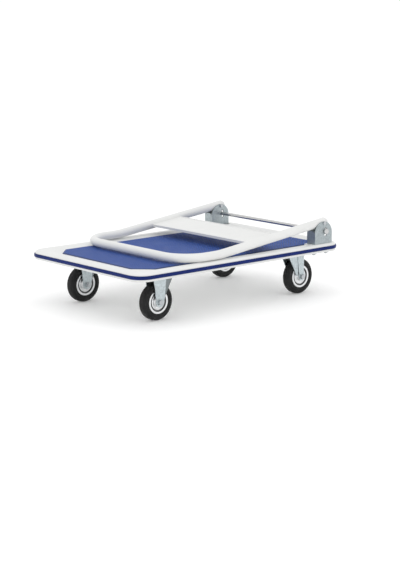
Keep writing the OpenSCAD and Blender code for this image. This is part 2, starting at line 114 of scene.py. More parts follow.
class CartDeckSizes(bpy.types.PropertyGroup):
    """Sizes of the pressed deck, its mat and its bumper."""

    corner: length("Corner radius", 0.039, "Plan radius of the skirt's corners")
    shoulder: length("Shoulder radius", 0.008, "Radius where the skirt turns into the rim")
    slope: length("Slope width", 0.024, "Width of the slope from the rim down to the mat")
    sheet: length("Sheet thickness", 0.002, "Thickness of the pressed steel")
    corner_cut: length("Mat corner cut", 0.040, "Leg of the 45 degree cut at each corner of the mat")
    pitch: length("Pimple pitch", 0.0068, "Distance between the mat's pimples")
    pimple: length("Pimple radius", 0.0026, "Radius of a pimple at its foot")
    pimple_rise: length("Pimple height", 0.0009, "Height of a pimple above the mat")
    seam_y: FloatProperty(
        name="Bumper seam", default=-0.104, unit="LENGTH",
        description="Y of the seam where the bumper's ends meet",
    )
    seam_gap: length("Seam gap", 0.0006, "Gap between the bumper's two ends")


class CartMetalSizes(bpy.types.PropertyGroup):
    """Sizes of edges, welds and springs."""

    sheet_edge: length("Sheet edge", 0.0005, "Rounding of cut edges on brackets and forks")
    bolt_edge: length("Bolt edge", 0.0004, "Rounding of edges on bolts and nuts")
    weld: length("Weld bead", 0.0016, "Radius of one ripple of a weld")
    weld_pitch: length("Weld pitch", 0.0021, "Distance between the ripples of a weld")
    spring_wire: length("Spring wire", 0.0007, "Radius of the spring wire")
    spring_turns: FloatProperty(name="Spring turns", default=6.0, description="Turns of a release spring")
    # Painted shade over each whole bracket, standing in for the darker reflections on its walls.
    bracket_dull: FloatProperty(
        name="Bracket dullness", default=0.36, description="Dullness of the brackets"
    )
    # Painted shade on the fixed forks' wings.
    wing_dull: FloatProperty(
        name="Wing dullness", default=0.8, description="Dullness of the fixed forks' wings"
    )
    strap_face: length("Strap face", 0.0180, "Outermost place of a wing, from the wheel's middle plane")
    round_steps: IntProperty(name="Steps around", default=96, min=24, description="Facets around a wheel")


class CartColours(bpy.types.PropertyGroup):
    """Colours of the cart's finishes."""

    enamel: colour("Enamel", (0.775, 0.78, 0.77), "White powder coat of the deck and the handle")
    mat: colour("Mat", (0.040, 0.098, 0.36), "Blue vinyl of the mat")
    bumper: colour("Bumper", (0.0005, 0.012, 0.11), "Dark blue vinyl of the edge bumper")
    zinc: colour("Zinc", (0.53, 0.59, 0.61), "Zinc-plated sheet steel")
    bolt: colour("Bolts", (0.50, 0.52, 0.54), "Zinc-plated bolts and nuts")
    rod: colour("Rod", (0.60, 0.60, 0.60), "Bright plated release rod")
    tyre: colour("Tyre", (0.007, 0.0072, 0.0075), "Black rubber")
    rim: colour("Rim", (0.82, 0.83, 0.84), "Plated wheel rims")
    nylon: colour("Hinge fitting", (0.76, 0.765, 0.76), "White moulded hinge fittings")


class CartStage(bpy.types.PropertyGroup):
    """The studio around the cart."""

    eye: FloatVectorProperty(
        name="Camera place", default=(-2.84405, -3.27788, 0.92389), subtype="XYZ", unit="LENGTH",
        description="Where the camera stands",
    )
    azimuth: FloatProperty(
        name="Azimuth", default=math.radians(-41.404), subtype="ANGLE",
        description="Turn of the camera from +Y",
    )
    elevation: FloatProperty(
        name="Elevation", default=math.radians(11.56), subtype="ANGLE",
        description="Tilt of the camera down",
    )
    lens: FloatProperty(
        name="Lens", default=100.277, unit="CAMERA", description="Focal length in millimetres"
    )
    sky: FloatProperty(
        name="Ambient light", default=0.98, min=0.0, description="Strength of the even light"
    )
    key: FloatProperty(
        name="Key light", default=9.0, min=0.0, unit="POWER", description="Power of the top light"
    )
    fill: FloatProperty(
        name="Fill light", default=3.0, min=0.0, unit="POWER", description="Power of the fill light"
    )


# ---------------------------------------------------------------- shared mesh tools


def rounded_line(points, closed, steps=5):
    """A 2D line through points (a, b, radius), with each corner rounded by its radius."""
    made = []
    count = len(points)
    for i, (a, b, radius) in enumerate(points):
        corner = Vector((a, b))
        if radius == 0 or (not closed and i in (0, count - 1)):
            made.append(corner)
            continue
        into = (Vector(points[i - 1][:2]) - corner).normalized()
        out = (Vector(points[(i + 1) % count][:2]) - corner).normalized()
        half = math.acos(max(-1.0, min(1.0, into.dot(out)))) / 2
        centre = corner + (into + out).normalized() * radius / math.sin(half)
        start = corner + into * radius / math.tan(half) - centre
        end = corner + out * radius / math.tan(half) - centre
        first = math.atan2(start.y, start.x)
        turn = math.remainder(math.atan2(end.y, end.x) - first, math.tau)
        for k in range(steps + 1):
            angle = first + turn * k / steps
            made.append(centre + radius * Vector((math.cos(angle), math.sin(angle))))
    return made


def new_object(name, mesh):
    """A new object at the origin that shows a mesh."""
    made = bpy.data.objects.new(name, mesh)
    bpy.context.scene.collection.objects.link(made)
    return made


def object_from(name, bm, outward=True):
    """A smooth-shaded object from a bmesh, with sharp edges kept where faces meet steeply."""
    if outward:
        bmesh.ops.recalc_face_normals(bm, faces=bm.faces)
    mesh = bpy.data.meshes.new(name)
    bm.to_mesh(mesh)
    bm.free()
    made = new_object(name, mesh)
    shade(made)
    return made


def shade(piece):
    """Smooth shading with sharp steep edges."""
    piece.data.shade_smooth()
    piece.data.set_sharp_from_angle(angle=SHARP_ANGLE)


def skin_between(bm, rows, closed):
    """Quads between neighbouring rows of vertices; each row is itself a closed loop."""
    pairs = list(zip(rows, rows[1:]))
    if closed:
        pairs.append((rows[-1], rows[0]))
    for one, two in pairs:
        for i in range(len(one)):
            j = (i + 1) % len(one)
            bm.faces.new((one[i], one[j], two[j], two[i]))


def lathe(name, section, centre, steps):
    """A closed section (radius, side) turned about the line along Y through centre."""
    bm = bmesh.new()
    rows = []
    for i in range(steps):
        angle = math.tau * i / steps
        rows.append([
            bm.verts.new((
                centre.x + p.x * math.cos(angle), centre.y + p.y, centre.z + p.x * math.sin(angle)
            ))
            for p in section
        ])
    skin_between(bm, rows, closed=True)
    return object_from(name, bm)


def centre_of(node):
    """Middle of a CAD node's box."""
    low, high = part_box(node)
    return (low + high) / 2


def bevel(piece, width, segments=2):
    """A narrow rounding on every steep edge of a piece."""
    rounding = piece.modifiers.new("Edge rounding", "BEVEL")
    rounding.width = width
    rounding.segments = segments
    rounding.limit_method = "ANGLE"
    rounding.angle_limit = math.radians(40)
    rounding.use_clamp_overlap = True
    rounding.harden_normals = True


def softened(node, name, width):
    """A merged copy of a CAD node with its steep edges rounded, standing for that node."""
    bm = bmesh.new()
    bm.from_mesh(frame["nodes"][node].data)
    bmesh.ops.remove_doubles(bm, verts=bm.verts, dist=MERGE)
    bmesh.ops.dissolve_limit(bm, angle_limit=math.radians(1), verts=bm.verts, edges=bm.edges)
    made = object_from(name, bm, outward=False)
    bevel(made, width)
    finish_piece(made, node, node)
    return made


def dull_faces(piece, share):
    """Stores painted shade on each face, from a function of the face's centre and normal."""
    marks = piece.data.attributes.new(PAINTED_SHADE_ATTRIBUTE, "FLOAT", "FACE")
    for face, mark in zip(piece.data.polygons, marks.data):
        mark.value = share(face.center, face.normal)


def finish_piece(piece, body_node, *stands_for):
    """Gives a piece the body and the finish of a CAD node, and hides the nodes that it stands for."""
    slot = SLOT_OF[body_node]
    piece.data.materials.clear()
    piece.data.materials.append(FINISHES[slot]())
    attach(piece, frame["nodes"][body_node]["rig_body"])
    if stands_for:
        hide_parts(*stands_for)


# ---------------------------------------------------------------- geometry node trees


def new_tree(name, inputs):
    """An empty geometry node tree with named inputs; returns it, its ends and the inputs' identifiers."""
    tree = bpy.data.node_groups.new(name, "GeometryNodeTree")
    tree.interface.new_socket("Geometry", in_out="INPUT", socket_type="NodeSocketGeometry")
    tree.interface.new_socket("Geometry", in_out="OUTPUT", socket_type="NodeSocketGeometry")
    identifiers = {}
    for title, kind in inputs:
        socket = tree.interface.new_socket(title, in_out="INPUT", socket_type=kind)
        identifiers[title] = socket.identifier
    return tree, tree.nodes.new("NodeGroupInput"), tree.nodes.new("NodeGroupOutput"), identifiers


def chain(tree, kind, settings=None, **inputs):
    """Adds a node, sets its properties, and links or sets its inputs by name."""
    node = tree.nodes.new(kind)
    for key, value in (settings or {}).items():
        setattr(node, key, value)
    for key, value in inputs.items():
        socket = node.inputs[key.replace("_", " ")] if not key.startswith("i") or not key[1:].isdigit() \
            else node.inputs[int(key[1:])]
        if isinstance(value, bpy.types.NodeSocket):
            tree.links.new(value, socket)
        else:
            socket.default_value = value
    return node


def grown(piece, tree, identifiers, values):
    """Runs a node tree on a piece and keeps the result as a plain mesh."""
    modifier = piece.modifiers.new(tree.name, "NODES")
    modifier.node_group = tree
    for title, value in values.items():
        modifier[identifiers[title]] = value
    depsgraph = bpy.context.evaluated_depsgraph_get()
    mesh = bpy.data.meshes.new_from_object(piece.evaluated_get(depsgraph))
    piece.modifiers.clear()
    piece.data = mesh
    return piece


def pimple_tree():
    """Low pimples on a grid over a plate with cut corners."""
    tree, ends, out, ids = new_tree("Pimples on a mat", [
        ("Pitch", "NodeSocketFloat"), ("Length", "NodeSocketFloat"), ("Width", "NodeSocketFloat"),
        ("Reach", "NodeSocketFloat"), ("Radius", "NodeSocketFloat"), ("Rise", "NodeSocketFloat"),
        ("Centre", "NodeSocketVector"), ("Material", "NodeSocketMaterial"),
    ])
    put = ends.outputs
    rows = [
        chain(tree, "ShaderNodeMath", {"operation": "ADD"}, i1=1.0, i0=chain(
            tree, "ShaderNodeMath", {"operation": "FLOOR"}, i0=chain(
                tree, "ShaderNodeMath", {"operation": "DIVIDE"}, i0=put[side], i1=put["Pitch"]
            ).outputs[0]
        ).outputs[0])
        for side in ("Length", "Width")
    ]
    grid = chain(
        tree, "GeometryNodeMeshGrid", Size_X=put["Length"], Size_Y=put["Width"],
        Vertices_X=rows[0].outputs[0], Vertices_Y=rows[1].outputs[0],
    )
    position = tree.nodes.new("GeometryNodeInputPosition")
    place = chain(tree, "ShaderNodeSeparateXYZ", i0=position.outputs[0])
    away = [
        chain(tree, "ShaderNodeMath", {"operation": "ABSOLUTE"}, i0=place.outputs[axis]).outputs[0]
        for axis in (0, 1)
    ]
    total = chain(tree, "ShaderNodeMath", {"operation": "ADD"}, i0=away[0], i1=away[1])
    beyond = chain(
        tree, "ShaderNodeMath", {"operation": "GREATER_THAN"}, i0=total.outputs[0], i1=put["Reach"]
    )
    within = chain(
        tree, "GeometryNodeDeleteGeometry", {"domain": "POINT"}, Geometry=grid.outputs["Mesh"],
        Selection=beyond.outputs[0],
    )
    small = chain(tree, "ShaderNodeMath", {"operation": "MULTIPLY"}, i0=put["Radius"], i1=0.5)
    cone = chain(
        tree, "GeometryNodeMeshCone", {"fill_type": "NGON"}, Vertices=6, Radius_Top=small.outputs[0],
        Radius_Bottom=put["Radius"], Depth=put["Rise"],
    )
    many = chain(
        tree, "GeometryNodeInstanceOnPoints", Points=within.outputs[0], Instance=cone.outputs["Mesh"]
    )
    moved = chain(tree, "GeometryNodeTransform", Geometry=many.outputs[0], Translation=put["Centre"])
    both = tree.nodes.new("GeometryNodeJoinGeometry")
    tree.links.new(put["Geometry"], both.inputs[0])
    tree.links.new(moved.outputs[0], both.inputs[0])
    real = chain(tree, "GeometryNodeRealizeInstances", Geometry=both.outputs[0])
    painted = chain(tree, "GeometryNodeSetMaterial", Geometry=real.outputs[0], Material=put["Material"])
    tree.links.new(painted.outputs[0], out.inputs[0])
    return tree, ids


def ripple_tree():
    """Overlapping ripples of weld along every edge of the incoming lines."""
    tree, ends, out, ids = new_tree("Weld ripples", [
        ("Pitch", "NodeSocketFloat"), ("Radius", "NodeSocketFloat"), ("Material", "NodeSocketMaterial"),
    ])
    put = ends.outputs
    curve = chain(tree, "GeometryNodeMeshToCurve", Mesh=put["Geometry"])
    dots = chain(
        tree, "GeometryNodeCurveToPoints", {"mode": "LENGTH"}, Curve=curve.outputs[0], Length=put["Pitch"]
    )
    ball = chain(tree, "GeometryNodeMeshUVSphere", Segments=8, Rings=5, Radius=put["Radius"])
    many = chain(
        tree, "GeometryNodeInstanceOnPoints", Points=dots.outputs["Points"], Instance=ball.outputs["Mesh"]
    )
    real = chain(tree, "GeometryNodeRealizeInstances", Geometry=many.outputs[0])
    painted = chain(tree, "GeometryNodeSetMaterial", Geometry=real.outputs[0], Material=put["Material"])
    tree.links.new(painted.outputs[0], out.inputs[0])
    return tree, ids


def coil_tree():
    """A coil of round wire standing on each incoming point."""
    tree, ends, out, ids = new_tree("Coil springs", [
        ("Turns", "NodeSocketFloat"), ("Radius", "NodeSocketFloat"), ("Height", "NodeSocketFloat"),
        ("Wire", "NodeSocketFloat"), ("Material", "NodeSocketMaterial"),
    ])
    put = ends.outputs
    path = chain(
        tree, "GeometryNodeCurveSpiral", Resolution=24, Rotations=put["Turns"], Start_Radius=put["Radius"],
        End_Radius=put["Radius"], Height=put["Height"],
    )
    section = chain(tree, "GeometryNodeCurvePrimitiveCircle", Resolution=10, Radius=put["Wire"])
    wire = chain(
        tree, "GeometryNodeCurveToMesh", Curve=path.outputs[0], Profile_Curve=section.outputs[0],
        Fill_Caps=True,
    )
    many = chain(tree, "GeometryNodeInstanceOnPoints", Points=put["Geometry"], Instance=wire.outputs[0])
    real = chain(tree, "GeometryNodeRealizeInstances", Geometry=many.outputs[0])
    painted = chain(tree, "GeometryNodeSetMaterial", Geometry=real.outputs[0], Material=put["Material"])
    tree.links.new(painted.outputs[0], out.inputs[0])
    return tree, ids


# ---------------------------------------------------------------- finishes


def new_finish(name, base, metallic, roughness, **sockets):
    """A material with a principled shader; returns it with its shader and its object coordinates."""
    made = bpy.data.materials.new(name)
    made.use_nodes = True
    shader = made.node_tree.nodes["Principled BSDF"]
    shader.inputs["Base Color"].default_value = (*base, 1)
    shader.inputs["Metallic"].default_value = metallic
    shader.inputs["Roughness"].default_value = roughness
    for title, value in sockets.items():
        shader.inputs[title.replace("_", " ")].default_value = value
    place = made.node_tree.nodes.new("ShaderNodeTexCoord").outputs["Object"]
    return made, made.node_tree, shader, place


def noise(tree, place, scale, detail=3.0, roughness=0.55):
    """Soft random spots; returns their value."""
    return chain(
        tree, "ShaderNodeTexNoise", Vector=place, Scale=scale, Detail=detail, Roughness=roughness
    ).outputs["Fac"]


def between(tree, factor, low, high, start=0.3, stop=0.7):
    """A factor mapped to a range."""
    return chain(
        tree, "ShaderNodeMapRange", i0=factor, i1=start, i2=stop, i3=low, i4=high
    ).outputs[0]


def tinted(tree, factor, one, two):
    """A colour that goes from one to two with the factor; one may be the output of another node."""
    if not isinstance(one, bpy.types.NodeSocket):
        one = (*one, 1)
    mix = chain(tree, "ShaderNodeMix", {"data_type": "RGBA"}, i0=factor, i6=one, i7=(*two, 1))
    return mix.outputs[2]


def bumped(tree, shader, height, strength, distance):
    """A small relief from a height value."""
    relief = chain(tree, "ShaderNodeBump", Strength=strength, Distance=distance, Height=height)
    tree.links.new(relief.outputs[0], shader.inputs["Normal"])


def scaled(base, share):
    """A colour made lighter or darker."""
    return tuple(min(1.0, channel * share) for channel in base)


def enamel_finish():
    """White powder coat: faint orange peel, faint blotches, a little grey dust."""
    base = bpy.context.scene.cart_colours.enamel
    made, tree, shader, place = new_finish("White powder coat", base, 0.0, 0.36, Specular_IOR_Level=0.45)
    blotch = noise(tree, place, 9.0, 4.0)
    tree.links.new(tinted(tree, between(tree, blotch, 0, 1), scaled(base, 0.97), scaled(base, 1.01)),
                   shader.inputs["Base Color"])
    tree.links.new(between(tree, noise(tree, place, 40.0), 0.32, 0.42), shader.inputs["Roughness"])
    bumped(tree, shader, noise(tree, place, 650.0, 2.0), 0.12, 0.0002)
    return made


def mat_finish():
    """Blue vinyl with a fine grain and scuffs, painted highlight on the pimples' tops and painted shade
    between the pimples.
    """
    base = bpy.context.scene.cart_colours.mat
    made, tree, shader, place = new_finish("Blue mat vinyl", base, 0.0, 0.5, Specular_IOR_Level=0.35)
    height = chain(tree, "ShaderNodeSeparateXYZ", i0=place).outputs[2]
    rise = bpy.context.scene.cart_deck.pimple_rise
    # Painted highlight: the pimples' tops are painted lighter by their height.
    painted_highlight_tops = between(tree, height, 0, 1, MAT_HIGH.z, MAT_HIGH.z + rise)
    scuffs = between(tree, noise(tree, place, 14.0, 5.0), 0, 1)
    # Painted shade: the mat between the pimples is painted darker, varied by scuffs.
    painted_shade_gaps = tinted(tree, scuffs, scaled(base, 0.36), scaled(base, 0.48))
    tree.links.new(tinted(tree, painted_highlight_tops, painted_shade_gaps, scaled(base, 1.7)), shader.inputs["Base Color"])
    tree.links.new(between(tree, noise(tree, place, 30.0), 0.44, 0.6), shader.inputs["Roughness"])
    bumped(tree, shader, noise(tree, place, 1400.0, 2.0), 0.25, 0.0002)
    return made


def bumper_finish():
    """Dark blue vinyl with a soft gloss and faint rub marks."""
    base = bpy.context.scene.cart_colours.bumper
    made, tree, shader, place = new_finish("Blue bumper vinyl", base, 0.0, 0.4, Specular_IOR_Level=0.18)
    rubbed = between(tree, noise(tree, place, 22.0, 6.0, 0.7), 0, 1, 0.45, 0.75)
    tree.links.new(tinted(tree, rubbed, base, scaled(base, 1.5)), shader.inputs["Base Color"])
    tree.links.new(between(tree, noise(tree, place, 60.0), 0.34, 0.5), shader.inputs["Roughness"])
    bumped(tree, shader, noise(tree, place, 900.0, 2.0), 0.15, 0.0002)
    return made


def plated_finish(name, base, roughness, spangle):
    """Plated steel: a crystal spangle, cloudy gloss, a fine grain, and painted shade where a face stores it.
    """
    made, tree, shader, place = new_finish(name, base, 1.0, roughness)
    cells = chain(tree, "ShaderNodeTexVoronoi", Vector=place, Scale=260.0).outputs["Color"]
    grey = chain(tree, "ShaderNodeRGBToBW", i0=cells).outputs[0]
    unshaded_spangle = tinted(
        tree, between(tree, grey, 0, 1, 0.2, 0.8), scaled(base, 1 - spangle), scaled(base, 1 + spangle)
    )
    # Painted shade: faces with the stored value are painted darker, towards three tenths of the plating's
    # colour.
    dull = chain(tree, "ShaderNodeAttribute", {"attribute_name": PAINTED_SHADE_ATTRIBUTE}).outputs["Fac"]
    tree.links.new(tinted(tree, dull, unshaded_spangle, scaled(base, 0.3)), shader.inputs["Base Color"])
    cloud = noise(tree, place, 45.0, 4.0)
    tree.links.new(between(tree, cloud, roughness * 0.85, roughness * 1.2), shader.inputs["Roughness"])
    bumped(tree, shader, noise(tree, place, 700.0, 3.0), 0.1, 0.0002)
    return made


def zinc_finish():
    """Zinc-plated sheet steel."""
    return plated_finish("Zinc-plated sheet", bpy.context.scene.cart_colours.zinc, 0.42, 0.1)


def bolt_finish():
    """Zinc-plated bolts and nuts."""
    return plated_finish("Zinc-plated hardware", bpy.context.scene.cart_colours.bolt, 0.33, 0.06)


def rim_finish():
    """Plated wheel rims."""
    return plated_finish("Plated rims", bpy.context.scene.cart_colours.rim, 0.34, 0.04)


def rod_finish():
    """A bright rod with fine marks of turning along its length."""
    base = bpy.context.scene.cart_colours.rod
    made, tree, shader, place = new_finish("Bright rod", base, 1.0, 0.2)
    turned = chain(tree, "ShaderNodeMapping", Vector=place, Scale=(40.0, 3000.0, 40.0)).outputs[0]
    marks = noise(tree, turned, 1.0, 2.0)
    tree.links.new(between(tree, marks, 0.14, 0.28), shader.inputs["Roughness"])
    tree.links.new(tinted(tree, between(tree, marks, 0, 1), scaled(base, 0.94), scaled(base, 1.03)),
                   shader.inputs["Base Color"])
    bumped(tree, shader, marks, 0.06, 0.0001)
    return made


def tyre_finish():
    """Black rubber with a fine grain and a little dust."""
    base = bpy.context.scene.cart_colours.tyre
    made, tree, shader, place = new_finish("Tyre rubber", base, 0.0, 0.62, Specular_IOR_Level=0.3)
    dust = between(tree, noise(tree, place, 34.0, 6.0, 0.7), 0, 1, 0.4, 0.8)
    tree.links.new(tinted(tree, dust, base, scaled(base, 1.9)), shader.inputs["Base Color"])
    tree.links.new(between(tree, noise(tree, place, 80.0), 0.52, 0.7), shader.inputs["Roughness"])
    bumped(tree, shader, noise(tree, place, 1100.0, 3.0), 0.25, 0.0002)
    return made


def nylon_finish():
    """White moulded nylon."""
    base = bpy.context.scene.cart_colours.nylon
    made, tree, shader, place = new_finish("Moulded nylon", base, 0.0, 0.5)
    cloud = noise(tree, place, 25.0)
    tree.links.new(tinted(tree, cloud, scaled(base, 0.93), base), shader.inputs["Base Color"])
    tree.links.new(between(tree, noise(tree, place, 90.0), 0.44, 0.56), shader.inputs["Roughness"])
    bumped(tree, shader, noise(tree, place, 1000.0), 0.15, 0.0002)
    return made


def kept(make):
    """The finish's material, made once and then reused."""
    made = []

    def give():
        if not made:
            made.append(make())
        return made[0]

    return give


FINISHES = {
    "white_enamel": kept(enamel_finish),
    "mat_vinyl": kept(mat_finish),
    "bumper_vinyl": kept(bumper_finish),
    "zinc_plate": kept(zinc_finish),
    "bolt_steel": kept(bolt_finish),
    "rod_steel": kept(rod_finish),
    "tyre_rubber": kept(tyre_finish),
    "rim_steel": kept(rim_finish),
    "cam_nylon": kept(nylon_finish),
}


# ---------------------------------------------------------------- deck, mat and bumper


def plan_ring(x_low, x_high, half_w, corner, cut, arc_steps=14, side_steps=10):
    """Plan points of a ring: round corners of radius corner, or straight ones where cut is true."""
    ring = []
    starts = []
    for k, (sx, sy) in enumerate(CORNERS):
        tip = Vector((x_high if sx > 0 else x_low, sy * half_w))
        centre = tip - corner * Vector((sx, sy))
        first = math.pi / 2 * k
        turns = [first + math.pi / 2 * i / arc_steps for i in range(arc_steps + 1)]
        arc = [centre + corner * Vector((math.cos(a), math.sin(a))) for a in turns]
        if cut:
            arc = [arc[0].lerp(arc[-1], i / arc_steps) for i in range(arc_steps + 1)]
        starts.append(arc)
    for k, arc in enumerate(starts):
        following = starts[(k + 1) % len(starts)][0]
        ring += arc
        ring += [arc[-1].lerp(following, i / side_steps) for i in range(1, side_steps)]
    return ring


def cut_outline(sizes, offset):
    """Plan ring of the mat's outline, grown sideways by offset."""
    cut = sizes.corner_cut + offset * (2 - math.sqrt(2))
    return plan_ring(MAT_LOW.x - offset, MAT_HIGH.x + offset, MAT_HIGH.y + offset, cut, True)


class CART_OT_deck(bpy.types.Operator):
    """Press the deck: skirt, rounded shoulder, flat rim, slope and mat seat in one sheet"""

    bl_idname = "cart.deck"
    bl_label = "Pressed deck"

    hem = 0.002
    rim_flat = 0.004
    rim_margin = 0.002
    rim_round = 0.012
    seat_round = 0.004
    seat_margin = 0.001
    seat_reach = 0.006
    pad_size = Vector((0.014, 0.012, 0.006))
    pad_margin = 0.005
    pad_edge = 0.0025

    def execute(self, context):
        sizes = context.scene.cart_deck
        top, seat = TRAY_HIGH.z, MAT_LOW.z
        shoulder = sizes.shoulder
        bm = bmesh.new()
        rows = []
        outer = rounded_line(
            [(0, TRAY_LOW.z, 0), (0, top, shoulder), (shoulder + self.rim_flat, top, 0)],
            closed=False, steps=8,
        )
        for inset, z in [(0, TRAY_LOW.z + self.hem)] + [tuple(p) for p in outer[1:]]:
            ring = plan_ring(
                TRAY_LOW.x + inset, TRAY_HIGH.x - inset, TRAY_HIGH.y - inset, sizes.corner - inset, False
            )
            rows.append([bm.verts.new((p.x, p.y, z)) for p in ring])
        rows.insert(0, [bm.verts.new((v.co.x, v.co.y, TRAY_LOW.z)) for v in rows[0]])
        slope = rounded_line([
            (sizes.slope + self.rim_margin, top, 0), (sizes.slope, top, self.rim_round),
            (self.seat_margin, seat, self.seat_round), (-self.seat_reach, seat, 0),
        ], closed=False)
        for offset, z in slope:
            rows.append([bm.verts.new((p.x, p.y, z)) for p in cut_outline(sizes, offset)])
        skin_between(bm, rows, closed=False)
        bm.faces.new(rows[-1])
        bmesh.ops.recalc_face_normals(bm, faces=bm.faces)
        bm.faces.ensure_lookup_table()
        if bm.faces[-1].normal.z < 0:
            bmesh.ops.reverse_faces(bm, faces=bm.faces)
        deck = object_from("pressed_deck", bm, outward=False)
        sheet = deck.modifiers.new("Sheet", "SOLIDIFY")
        sheet.thickness = sizes.sheet
        sheet.offset = -1
        finish_piece(deck, "deck_tray", "deck_tray")
        self.pads()
        return {"FINISHED"}

    def pads(self):
        """Flat seats under the inner walls of the brackets."""
        bm = bmesh.new()
        for node in ("left_hinge_bracket", "right_hinge_bracket"):
            low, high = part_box(node)
            side = math.copysign(1, low.y)
            inner = min(abs(low.y), abs(high.y)) - self.pad_margin
            size = self.pad_size + Vector((high.x - low.x, 0, 0))
            middle = Vector((
                (low.x + high.x) / 2, side * (inner + size.y / 2), TRAY_HIGH.z - size.z / 2
            ))
            bmesh.ops.create_cube(
                bm, size=1, matrix=Matrix.Translation(middle) @ Matrix.Diagonal((*size, 1))
            )
        pads = object_from("bracket_seats", bm)
        bevel(pads, self.pad_edge, 4)
        finish_piece(pads, "deck_tray")


class CART_OT_mat(bpy.types.Operator):
    """Lay the anti-slip mat and cover it with low pimples"""

    bl_idname = "cart.mat"
    bl_label = "Anti-slip mat"

    edge_round = 0.0008
    edge_reach = 0.004

    def execute(self, context):
        sizes = context.scene.cart_deck
        edge = rounded_line(
            [(0, MAT_LOW.z, 0), (0, MAT_HIGH.z, self.edge_round), (-self.edge_reach, MAT_HIGH.z, 0)],
            closed=False, steps=3,
        )
        bm = bmesh.new()
        rows = [[bm.verts.new((p.x, p.y, z)) for p in cut_outline(sizes, offset)] for offset, z in edge]
        skin_between(bm, rows, closed=False)
        bm.faces.new(rows[-1])
        bm.faces.new(reversed(rows[0]))
        mat = object_from("anti_slip_mat", bm)
        tree, ids = pimple_tree()
        margin = sizes.pitch
        middle = (MAT_LOW + MAT_HIGH) / 2
        half = (MAT_HIGH - MAT_LOW) / 2
        grown(mat, tree, ids, {
            "Pitch": sizes.pitch,
            "Length": 2 * (half.x - margin),
            "Width": 2 * (half.y - margin),
            "Reach": half.x + half.y - sizes.corner_cut - margin,
            "Radius": sizes.pimple,
            "Rise": sizes.pimple_rise,
            "Centre": (middle.x, middle.y, MAT_HIGH.z),
            "Material": FINISHES["mat_vinyl"](),
        })
        finish_piece(mat, "deck_mat", "deck_mat")
        return {"FINISHED"}


class CART_OT_bumper(bpy.types.Operator):
    """Wrap the soft bumper round the skirt, with its seam at the front"""

    bl_idname = "cart.bumper"
    bl_label = "Edge bumper"

    embed = 0.0003
    lip_round = 0.0012
    nose_round = 0.006
    lip_share = 0.72
    nose_share = 0.2

    def execute(self, context):
        sizes = context.scene.cart_deck
        out = BUMPER_HIGH.x - TRAY_HIGH.x
        tall = BUMPER_HIGH.z - BUMPER_LOW.z
        middle = (BUMPER_HIGH.z + BUMPER_LOW.z) / 2
        lip, nose = out * self.lip_share, tall * self.nose_share
        section = rounded_line([
            (-self.embed, -tall / 2, 0), (lip, -tall / 2, self.lip_round), (out, -nose, self.nose_round),
            (out, nose, self.nose_round), (lip, tall / 2, self.lip_round), (-self.embed, tall / 2, 0),
        ], closed=True, steps=4)
        ring = plan_ring(TRAY_LOW.x, TRAY_HIGH.x, TRAY_HIGH.y, sizes.corner, False, arc_steps=18)
        loop = self.opened_at_seam(ring, sizes)
        bm = bmesh.new()
        rows = []
        for i, here in enumerate(loop):
            along = loop[min(i + 1, len(loop) - 1)] - loop[max(i - 1, 0)]
            away = Vector((along.y, -along.x)).normalized()
            rows.append([
                bm.verts.new((here.x + away.x * p.x, here.y + away.y * p.x, middle + p.y))
                for p in section
            ])
        skin_between(bm, rows, closed=False)
        bm.faces.new(rows[0])
        bm.faces.new(rows[-1])
        finish_piece(object_from("bumper_strip", bm), "edge_bumper", "edge_bumper")
        return {"FINISHED"}

    def opened_at_seam(self, ring, sizes):
        """The closed ring as an open line that starts and ends at the seam on the front edge."""
        front = [p for p in ring if abs(p.x - TRAY_LOW.x) < MERGE]
        after = max((p for p in front if p.y < sizes.seam_y), key=lambda p: p.y)
        start = ring.index(after)
        turned = ring[start:] + ring[:start]
        gap = sizes.seam_gap / 2
        first = Vector((TRAY_LOW.x, sizes.seam_y - gap))
        last = Vector((TRAY_LOW.x, sizes.seam_y + gap))
        return [first] + turned + [last]


# ---------------------------------------------------------------- wheels


def tyre_section(low, high, inner):
    """Section of a tyre: bead, sidewall with a moulded ring, round shoulders and a crowned tread."""
    half = (high.y - low.y) / 2
    outer = (high.z - low.z) / 2
    side = [
        (inner, half - 0.0022, 0), (inner + 0.0012, half - 0.0012, 0.0008),
        (inner + 0.004, half - 0.0008, 0.001), (inner + 0.0046, half, 0.0006),
        (outer - 0.0065, half, 0.004), (outer - 0.0008, half - 0.0055, 0.0045), (outer, 0.0015, 0.01),
    ]
    back = [(r, -y, radius) for r, y, radius in reversed(side)]
    return rounded_line(side[:-1] + [(outer, 0, 0)] + back[1:], closed=True, steps=5)


def rim_section(half, outer):
    """Section of a pressed rim: raised ring, groove, dished disc with two steps, hub barrel."""
    ring = [(outer, half - 0.0004, 0.0006), (outer - 0.0012, half + 0.0004, 0.0008), (0.0262, half, 0.0012)]
    groove = [(0.0250, 0.0070, 0.001), (0.0226, 0.0060, 0.001)]
    disc = [(0.0216, 0.0104, 0.001), (0.0176, 0.0108, 0.0008), (0.0166, 0.0096, 0.0006)]
    hub = [(0.0136, 0.0096, 0.0006), (0.0122, 0.0116, 0.0006), (0.0118, 0.0158, 0.0006), (0.0090, 0.0158, 0)]
    side = ring + groove + disc + hub
    back = [(r, -y, radius) for r, y, radius in reversed(side)]
    return rounded_line(side + back, closed=True, steps=3)


